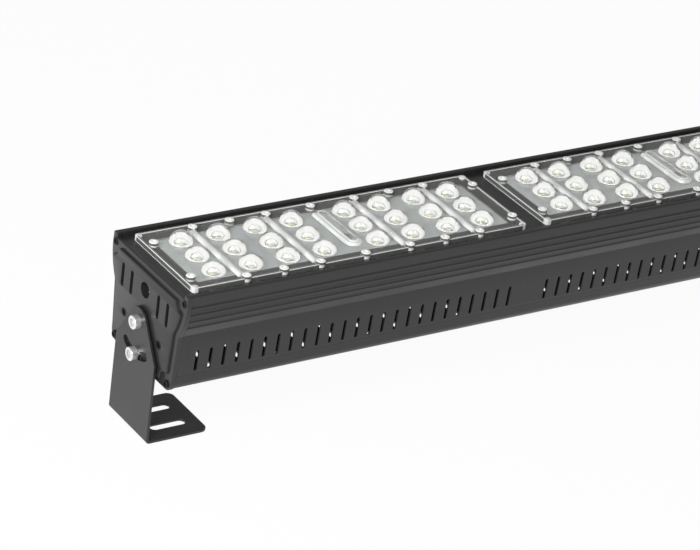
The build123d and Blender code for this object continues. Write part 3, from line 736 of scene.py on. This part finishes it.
def footCutters(outer):
    # hinge hole and lock slot in the upright, and two slots in the foot
    thick = foot["thickness"]
    holes = [circlePoints(0, foot["pivot"], foot["pivotHole"]), lockSlotPoints()]
    cutters = [alongX(flatSheet("hole", [hole], thick + 2 * over), outer - over) for hole in holes]
    middle = outer + foot["slotStart"] + foot["slotLength"] / 2
    for side in (-1, 1):
        upright = slotPoints(side * foot["slotSide"], middle, foot["slotLength"], foot["slotWidth"], 10)
        cutters.append(block("slot", [[(x, y) for y, x in upright]], -over, thick + over))
    return cutters


def buildFoot(word):
    thick = foot["thickness"]
    outer = -fullHalf - foot["gap"] - thick
    far = outer + foot["length"]
    top = foot["pivot"] + foot["topRadius"] + over
    turn = foot["bend"] + thick
    strip = [(far, 0)] + arcPoints(outer + turn, turn, turn, 270, 180, 8)
    strip += [(outer, top), (outer + thick, top)]
    strip += arcPoints(outer + turn, turn, foot["bend"], 180, 270, 6) + [(far, thick)]
    body = flatSheet("strip", [strip], 2 * foot["halfWidth"])
    # the strip's plane stands up as XZ, with its width along Y
    body.transform(Matrix(((1, 0, 0, 0), (0, 0, -1, foot["halfWidth"] * mm), (0, 1, 0, 0), (0, 0, 0, 1))))
    silhouette = alongX(flatSheet("silhouette", [uprightOutline()], foot["length"] + 2 * over), outer - over)
    plan = block("plan", [footPlan(outer, far)], -over, top + over)
    cutters = joinMeshes("holes", footCutters(outer))
    mesh = carve(body, [(silhouette, "INTERSECT"), (plan, "INTERSECT"), (cutters, "DIFFERENCE")])
    if word == "right":
        mirrorMesh(mesh)
    editMesh(mesh, lambda bm: bmesh.ops.dissolve_limit(
        bm, angle_limit=math.radians(0.5), verts=bm.verts, edges=bm.edges))
    smoothByAngle(mesh, 32)
    piece = finishPiece("foot." + word, mesh, ["bracket_" + word], "feet", powderCoat)
    bevel = piece.modifiers.new("softEdge", "BEVEL")
    bevel.width = foot["edge"] * mm
    bevel.segments = 2
    bevel.limit_method = "ANGLE"
    bevel.angle_limit = math.radians(40)
    bevel.harden_normals = True


for word in ("left", "right"):
    buildFoot(word)
print("feet made")


# end plates
endPlate = {
    "rise": 2.3, "flange": 3.5, "edge": 0.35, "cornerRound": 6.8, "earInner": 47.4, "middleTop": 126.4,
    "inset": 5.2, "bevel": 1.4, "fieldSink": 0.5, "fieldTop": 122.2, "notch": 8.6, "screwHole": 2.3, "arcGap": 0.5,
    "topScrew": (48.3, 123.2), "lowScrew": bottomTray["portPlace"], "panelScrew": (24.8, 79.0),
    "slotWidth": 3.8, "slotLength": 18.6, "slotTop": 115.2, "slotSides": (18.7, 31.3),
    "cableRadius": 5.9, "cableHeight": 109.5, "boltHole": 3.25, "boltHeights": (85.2, 59.8),
}


def flangeOutline():
    corner = endPlate["cornerRound"]
    half = [(endPlate["earInner"], endPlate["middleTop"])] + rimTopLine(endPlate["earInner"])
    half += sideLine(outerReach, section["shoulder"], section["bottom"] + corner, 1.0)
    return mirroredLoop(half + lowCorner(corner, 0, 8))


def fieldOutline():
    # raised field that keeps clear of the corner screws by round notches
    inset = endPlate["inset"]
    notch = endPlate["notch"]
    topY, topZ = endPlate["topScrew"]
    lowY, lowZ = endPlate["lowScrew"]
    startTop = math.degrees(math.asin((endPlate["fieldTop"] - topZ) / notch))
    endTop = math.degrees(math.acos((outerReach(topZ - notch) - inset - topY) / notch))
    endLow = math.degrees(math.acos((outerReach(lowZ + notch) - inset - lowY) / notch))
    startLow = math.degrees(math.asin((section["bottom"] + inset - lowZ) / notch))
    topArc = arcPoints(topY, topZ, notch, 180 - startTop, 360 - endTop, 14)
    lowArc = arcPoints(lowY, lowZ, notch, endLow, 180 - startLow, 14)
    high, low = topArc[-1][1] - endPlate["arcGap"], lowArc[0][1] + endPlate["arcGap"]
    side = sideLine(lambda height: outerReach(height) - inset, high, low, 2.0)
    return mirroredLoop(topArc + side + lowArc)


def buildEndPlate(word):
    flange = flatSheet("flange", [flangeOutline()], endPlate["flange"], endPlate["edge"], 2)
    alongX(flange, -fullHalf + endPlate["rise"])
    fieldDepth = endPlate["rise"] + endPlate["bevel"] + endPlate["fieldSink"]
    field = alongX(flatSheet("field", [fieldOutline()], fieldDepth, endPlate["bevel"], 1), -fullHalf)
    holes = [circlePoints(0, endPlate["cableHeight"], endPlate["cableRadius"])]
    holes += [circlePoints(0, height, endPlate["boltHole"]) for height in endPlate["boltHeights"]]
    for y, z in (endPlate["topScrew"], endPlate["lowScrew"], endPlate["panelScrew"]):
        holes += [circlePoints(side * y, z, endPlate["screwHole"], 24) for side in (-1, 1)]
    depth = endPlate["rise"] + endPlate["flange"] + 4 * over
    cutters = [flatSheet("cutter", [hole], depth) for hole in holes]
    width, length = endPlate["slotWidth"], endPlate["slotLength"]
    middle = (0, endPlate["slotTop"] - length / 2, 0)
    cutters += [slotRow("endSlots", [middle], 2, 2 * y, width, length, depth) for y in endPlate["slotSides"]]
    for cutter in cutters:
        alongX(cutter, -fullHalf - 2 * over)
    mesh = carve(flange, [(field, "UNION"), (joinMeshes("endPlateCutter", cutters), "DIFFERENCE")])
    if word == "right":
        mirrorMesh(mesh)
    smoothByAngle(mesh, 32)
    finishPiece("endPlate." + word, mesh, ["end_plate_" + word], "housing", powderCoat)


for word in ("left", "right"):
    buildEndPlate(word)
print("end plates made")


# screws and bolts
screws = {
    "corner": {"head": 5.8, "height": 1.5, "shank": 4.0, "length": 12.0, "rounding": 0.4, "steps": 40},
    "panel": {"head": 7.0, "height": 1.7, "shank": 4.0, "length": 8.0, "rounding": 0.15, "steps": 40},
    "bolt": {"head": 10.2, "height": 4.8, "shank": 6.0, "length": 11.5, "rounding": 0.6, "steps": 60},
}
socket = {"across": 0.55, "depth": 0.6}  # shares of the head's diameter and height
topSunk = 0.9  # how far the upper corner screws are let in


def hexagonPoints(across, steps):
    # hexagon with its flats at half its width, as many points as the round rings have
    corner = across / math.cos(math.radians(30))
    points = []
    for i in range(steps):
        angle = 2 * math.pi * i / steps
        offset = (angle + math.pi / 6) % (math.pi / 3) - math.pi / 6
        reach = min(corner, across / math.cos(offset))
        points.append((reach * math.cos(angle), reach * math.sin(angle)))
    return points


def headMesh(name, head, height, shank, length, rounding, steps):
    # socket head screw, top towards -X, underside of its head at the origin
    rounds = [(shank / 2, -length), (shank / 2, 0.0), (head / 2, 0.0), (head / 2, height - rounding)]
    for degrees in (30, 60, 90):
        out = rounding * math.cos(math.radians(degrees))
        up = rounding * math.sin(math.radians(degrees))
        rounds.append((head / 2 - rounding + out, height - rounding + up))
    loops = [(level, circlePoints(0, 0, radius, steps)) for radius, level in rounds]
    hexagon = hexagonPoints(head * socket["across"] / 2, steps)
    loops += [(level, hexagon) for level in (height, height - height * socket["depth"])]

    def fill(bm):
        rings = [[bm.verts.new((-level * mm, y * mm, z * mm)) for y, z in loop] for level, loop in loops]
        for below, above in zip(rings, rings[1:]):
            for i in range(steps):
                j = (i + 1) % steps
                bm.faces.new((below[i], below[j], above[j], above[i]))
        bm.faces.new(rings[0])
        bm.faces.new(rings[-1])
        bmesh.ops.recalc_face_normals(bm, faces=bm.faces)
    mesh = newMesh(name, fill)
    smoothByAngle(mesh, 35)
    return mesh


def bothSides(x, place):
    return [(x, side * place[0], place[1]) for side in (-1, 1)]


def buildEndScrews():
    flangeFace = -fullHalf + endPlate["rise"]
    bracketFace = -fullHalf - foot["gap"] - foot["thickness"]
    corner = headMesh("cornerScrew", **screws["corner"])
    flush = headMesh("panelScrew", **screws["panel"])
    bolt = headMesh("bolt", **screws["bolt"])
    heads = bothSides(flangeFace + topSunk, endPlate["topScrew"])
    heads += bothSides(flangeFace, endPlate["lowScrew"])
    panelHeads = bothSides(-fullHalf + screws["panel"]["height"], endPlate["panelScrew"])
    pivot, lock = [[(bracketFace, 0, height)] for height in endPlate["boltHeights"]]
    sets = [
        ("endScrews", corner, heads, "end_plate_screws", "black_steel", blackScrew),
        ("panelScrews", flush, panelHeads, "nut_plate_screws", "black_steel", blackScrew),
        ("pivotBolt", bolt, pivot, "pivot_bolt", "stainless_steel", brightSteel),
        ("lockBolt", bolt, lock, "lock_bolt", "stainless_steel", brightSteel),
    ]
    for name, template, places, node, slotName, material in sets:
        mesh = scatter(name, template, places, material)
        finishPiece(name + ".left", mesh, [node + "_left"], "housing")
        finishPiece(name + ".right", mirrorMesh(mesh.copy()), [node + "_right"], "housing")


buildEndScrews()
print("screws and bolts made")


# lens plates
lens = {
    "length": 282.4, "width": 84.0, "cornerRound": 4.0, "base": 126.0, "top": 128.9, "plateInset": 0.3,
    "lipTop": 130.5, "lipWidth": 1.8, "lipRound": 0.45, "cornerPad": 2.6, "padRound": 0.4, "padGap": 0.05,
    "pocket": (264.2, 64.2, 2.0), "pocketTop": 128.0,
    "pitch": 30.46, "gap": 45.04, "rowPitch": 22.75, "domeRadius": 8.7, "recess": (3.4, 2.2),
    "ribs": (37.75, 98.67), "ribEnds": (-36.2, 32.4), "ribWidth": 6.4, "ribRise": 3.2,
}
boss = {
    "radius": 3.5, "foot": 126.3, "top": 132.3, "round": 0.5, "dimple": (1.3, 1.2, 0.8), "shift": 1.3,
    "offsets": (0.0, 37.75, 68.21, 98.67), "rows": (-39.6, 35.4), "cornerReach": 136.3,
    "cornerRows": (-27.3, 24.6),
}
cover = {
    "x": 5.1, "y": 3.5, "length": 50.0, "width": 10.0, "rise": 2.5, "sink": 0.5, "round": 1.45,
    "wall": 0.9, "hollowSink": 0.4, "hollowRound": 1.2, "clearHalf": 4.7,
    "barStart": (-0.9, 26.0), "barTurn": (4.3, -18.0, 5.2, 180, 355, 12), "barWidth": 4.8, "barRise": 2.8,
}


def lensPlaces(height):
    reach = [lens["gap"] / 2 + i * lens["pitch"] for i in range(4)]
    columns = [-x for x in reversed(reach)] + reach
    return [(x, row * lens["rowPitch"], height) for x in columns for row in (-1, 0, 1)]


def bossPlaces():
    along = [side * x for x in boss["offsets"] for side in (-1, 1) if x or side > 0]
    places = [(x, y) for x in along for y in boss["rows"]]
    places += [(side * boss["cornerReach"], y) for side in (-1, 1) for y in boss["cornerRows"]]
    return [(x + boss["shift"], y, boss["foot"]) for x, y in places]


def cornerPlaces():
    halfLength = lens["length"] / 2 - lens["cornerPad"]
    halfWidth = lens["width"] / 2 - lens["cornerPad"]
    return [(signX * halfLength, signY * halfWidth) for signX in (-1, 1) for signY in (-1, 1)]


def barPlaces():
    # path, width and rise of each bar on the plate
    low, high = lens["ribEnds"]
    ribs = [[(side * x, low), (side * x, high)] for x in lens["ribs"] for side in (-1, 1)]
    bars = [(path, lens["ribWidth"], lens["ribRise"]) for path in ribs]
    coverPath = [cover["barStart"]] + arcPoints(*cover["barTurn"])
    return bars + [(coverPath, cover["barWidth"], cover["barRise"])]


def bossMesh():
    outer = boss["radius"]
    rise = boss["top"] - boss["foot"]
    bend = boss["round"]
    dimpleTop, dimpleLow, depth = boss["dimple"]
    middle = 0.3 * bend  # how far in and down the middle of the round lies
    edge = [(outer, rise - bend), (outer - middle, rise - middle), (outer - bend, rise)]
    return revolved("boss", [(0, 0), (outer, 0)] + edge + [
        (dimpleTop, rise), (dimpleLow, rise - depth), (0, rise - depth)], 28)


def barMesh(path, width, rise):
    # its middle lies on the plate's flat underside, and the pocket cuts its lower half off
    line = pointMesh("barPath", [(x, y, 0) for x, y in path], True)
    mesh = runTree("bar", barTree(lensClear), line, {"Width": width * mm, "Rise": rise * mm})
    cleanMesh(mesh)
    return upwards(mesh, lens["pocketTop"])


def coverMesh(name, shrink, low, high, rounding, steps):
    outline = slotPoints(cover["x"], cover["y"], cover["length"] - shrink, cover["width"] - shrink, 12)
    return block(name, [outline], low, high, rounding, steps)


# where each painted highlight and painted shade of the lens plate lies, in mm and in slopes from 0, upright, to 1,
# level
zones = {
    "bands": (126.9, 127.7, 129.95), "bossFoot": 0.2, "bossCap": 1.0, "bossSlack": 0.1, "padFoot": 0.02,
    "padSlack": 0.3, "lipSlack": 0.1, "lipSlopes": (0.1, 0.97), "wallSlope": 0.5, "wallReach": 0.5,
    "topSlack": 0.05,
}


def gapToPath(x, y, path):
    gaps = []
    for start, end in zip(path, path[1:]):
        run = Vector(end) - Vector(start)
        away = Vector((x, y)) - Vector(start)
        share = max(0, min(1, away.dot(run) / run.length_squared))
        gaps.append((away - run * share).length)
    return min(gaps)


def nearAny(x, y, places, reach):
    return min(math.hypot(x - place[0], y - place[1]) for place in places) < reach


def onBar(x, y, bars):
    # on a bar, but not on the clear top of the wire cover
    half = (cover["length"] - cover["width"]) / 2
    axis = [(cover["x"], cover["y"] - half), (cover["x"], cover["y"] + half)]
    if gapToPath(x, y, axis) <= cover["clearHalf"]:
        return False
    return any(gapToPath(x, y, path) < width / 2 for path, width, rise in bars)


# picks where the clear plate gets a painted highlight (edges, pads, lip, boss tops, ribs) or painted shade (greyer
# walls)
def lensFinish(x, y, z, slope, bosses, pads, bars):
    fromEnd = lens["length"] / 2 - abs(x)
    fromSide = lens["width"] / 2 - abs(y)
    lowBand, stemBand, highBand = zones["bands"]
    lowSlope, highSlope = zones["lipSlopes"]
    if z > lens["base"] + zones["bossFoot"] and nearAny(x, y, bosses, boss["radius"] + zones["bossSlack"]):
        if z > boss["top"] - zones["bossCap"]:
            return lensHighlightTop
        return lensHighlightEdge if stemBand < z < highBand else lensShadeWall
    if z > lens["base"] + zones["padFoot"] and nearAny(x, y, pads, lens["cornerPad"] + zones["padSlack"]):
        return lensHighlightEdge
    if highBand < z < lens["lipTop"] + zones["lipSlack"] and lowSlope < slope < highSlope:
        return lensHighlightEdge
    if slope < zones["wallSlope"] and min(fromEnd, fromSide) < zones["wallReach"]:
        return lensHighlightEdge if z < lowBand and fromEnd < zones["wallReach"] else lensShadeWall
    if z > lens["top"] + zones["topSlack"] and onBar(x, y, bars):
        return lensHighlightRib
    return lensClear


def dressLens(mesh):
    # clear moulding with painted highlights on rounded edges, ribs and boss tops, and painted shade on greyer
    # walls
    def splitLevels(bm):
        # level cuts, so that a wall can carry bands of painted highlight and painted shade
        for height in zones["bands"]:
            everything = bm.verts[:] + bm.edges[:] + bm.faces[:]
            bmesh.ops.bisect_plane(bm, geom=everything, dist=joinGap / 2 * mm,
                                   plane_co=(0, 0, height * mm), plane_no=(0, 0, 1))
    editMesh(mesh, splitLevels)
    materials = [lensClear, lensHighlightEdge, lensShadeWall, lensHighlightTop, lensHighlightRib]
    mesh.materials.clear()
    for material in materials:
        mesh.materials.append(material)
    bosses, pads, bars = bossPlaces(), cornerPlaces(), barPlaces()
    for face in mesh.polygons:
        paintedLight = lensFinish(*(face.center / mm), abs(face.normal.z), bosses, pads, bars)
        face.material_index = materials.index(paintedLight)


def buildLensPlate():
    # one module's plate about its own centre, as a closed shell
    length, width, corner = lens["length"], lens["width"], lens["cornerRound"]
    base, top, lipTop, pocketTop = lens["base"], lens["top"], lens["lipTop"], lens["pocketTop"]
    inset = 2 * lens["plateInset"]
    lip = lens["lipWidth"]
    plate = block("plate", [roundedRectangle(length - inset, width - inset, corner)], base, top)
    ring = [roundedRectangle(length, width, corner),
            roundedRectangle(length - 2 * lip, width - 2 * lip, corner - lip / 2)]
    rim = block("rim", ring, base, lipTop, lens["lipRound"], 2)
    gap = lens["padGap"]
    outlines = [circlePoints(x, y, lens["cornerPad"] - gap, 24) for x, y in cornerPlaces()]
    pads = [block("pad", [outline], base + gap, lipTop - gap, lens["padRound"], 2) for outline in outlines]
    pocket = block("pocket", [roundedRectangle(*lens["pocket"])], base - over, pocketTop)
    coverTop = top + cover["rise"]
    shell = coverMesh("blister", 0, top - cover["sink"], coverTop, cover["round"], 5)
    hollow = coverMesh("hollow", 2 * cover["wall"], pocketTop - cover["hollowSink"], coverTop - cover["wall"],
                       cover["hollowRound"], 4)
    radius = lens["domeRadius"]
    domes = scatter("domes", domedCap("dome", radius, radius, 10, 40), lensPlaces(top), lensClear)
    recess = domedCap("recess", *lens["recess"], 8, 32)
    recesses = scatter("recesses", recess, lensPlaces(pocketTop), lensClear)
    bosses = scatter("bosses", bossMesh(), bossPlaces(), lensClear)
    added = [rim, joinMeshes("pads", pads), bosses, domes, shell] + [barMesh(*bar) for bar in barPlaces()]
    removed = [pocket, hollow, recesses]
    mesh = carve(plate, [(other, "UNION") for other in added] + [(other, "DIFFERENCE") for other in removed])
    smoothByAngle(mesh, 30)
    dressLens(mesh)
    return mesh


lensMesh = buildLensPlate()
print("lens plate built:", len(lensMesh.polygons), "faces")
for number, centre in enumerate(moduleCentres, 1):
    placed = lensMesh.copy()
    placed.transform(Matrix.Translation((centre * mm, 0, 0)))
    finishPiece("lensPlate." + str(number), placed, ["lens_plate_" + str(number)], "housing")


# room, lights and camera
room = {"floorTone": (0.94, 0.94, 0.94), "floorSize": 6.0, "worldStrength": 0.3, "skyGloss": 0.12,
        "shadowShare": 0.95}
lamps = {"key": {"place": (-1.6, -0.8, 1.0), "aim": (0, 0, 0.08), "size": 1.0, "power": 42.0}}
view = {"place": (-1.35188, -1.66418, 1.18377), "turn": (61.8366, -6.9956, -32.5399), "lens": 165.9,
        "sensor": 36.0, "farClip": 20.0}
white = (1, 1, 1, 1)


def paperMaterial():
    # pale floor that shows white to the camera and keeps a trace of the object's shadow
    material = bpy.data.materials.new("paleFloor")
    material.use_nodes = True
    tree = material.node_tree
    tree.nodes.clear()
    diffuse = put(tree, "ShaderNodeBsdfDiffuse", {"Color": (*room["floorTone"], 1)})
    glow = put(tree, "ShaderNodeEmission", {"Color": white, "Strength": 1.0})
    path = put(tree, "ShaderNodeLightPath")
    seen = mathNode(tree, "MAXIMUM", path.outputs["Is Camera Ray"], path.outputs["Is Glossy Ray"])
    seen = mathNode(tree, "MAXIMUM", seen, path.outputs["Is Transmission Ray"])
    share = mathNode(tree, "MULTIPLY", seen, room["shadowShare"])
    mix = put(tree, "ShaderNodeMixShader", {0: share, 1: diffuse.outputs[0], 2: glow.outputs[0]})
    # nothing of the floor is seen from below it
    below = put(tree, "ShaderNodeNewGeometry").outputs["Backfacing"]
    clear = put(tree, "ShaderNodeBsdfTransparent")
    sided = put(tree, "ShaderNodeMixShader", {0: below, 1: mix.outputs[0], 2: clear.outputs[0]})
    put(tree, "ShaderNodeOutputMaterial", {"Surface": sided.outputs[0]})
    return material


def buildFloor():
    half = room["floorSize"] / 2
    corners = [(-half, -half, 0), (half, -half, 0), (half, half, 0), (-half, half, 0)]
    mesh = bpy.data.meshes.new("floor")
    mesh.from_pydata(corners, [], [(0, 1, 2, 3)])
    mesh.materials.append(paperMaterial())
    floor = newObject("floor", mesh)


def buildWorld():
    # soft light, with white behind the object and only a little of it in gloss
    world = bpy.data.worlds.new("studio")
    scene.world = world
    world.use_nodes = True
    tree = world.node_tree
    tree.nodes.clear()
    soft = put(tree, "ShaderNodeBackground", {"Color": white, "Strength": room["worldStrength"]})
    bright = put(tree, "ShaderNodeBackground", {"Color": white, "Strength": 1.0})
    path = put(tree, "ShaderNodeLightPath")
    seen = mathNode(tree, "MAXIMUM", path.outputs["Is Camera Ray"], path.outputs["Is Transmission Ray"])
    gloss = mathNode(tree, "MULTIPLY", path.outputs["Is Glossy Ray"], room["skyGloss"])
    share = mathNode(tree, "MAXIMUM", seen, gloss)
    mix = put(tree, "ShaderNodeMixShader", {0: share, 1: soft.outputs[0], 2: bright.outputs[0]})
    put(tree, "ShaderNodeOutputWorld", {"Surface": mix.outputs[0]})


def buildLamps():
    for name, values in lamps.items():
        light = bpy.data.lights.new(name, "AREA")
        light.size = values["size"]
        light.energy = values["power"]
        lamp = newObject(name, light)
        lamp.location = values["place"]
        aim = Vector(values["aim"]) - Vector(values["place"])
        lamp.rotation_euler = aim.to_track_quat("-Z", "Y").to_euler()


def buildCamera():
    data = bpy.data.cameras.new("camera")
    data.lens = view["lens"]
    data.sensor_width = view["sensor"]
    data.clip_end = view["farClip"]
    camera = newObject("camera", data)
    camera.location = view["place"]
    camera.rotation_euler = Euler([math.radians(a) for a in view["turn"]], "XYZ")
    scene.camera = camera


buildFloor()
buildWorld()
buildLamps()
buildCamera()
scene.view_settings.view_transform = "Standard"
print("room made")
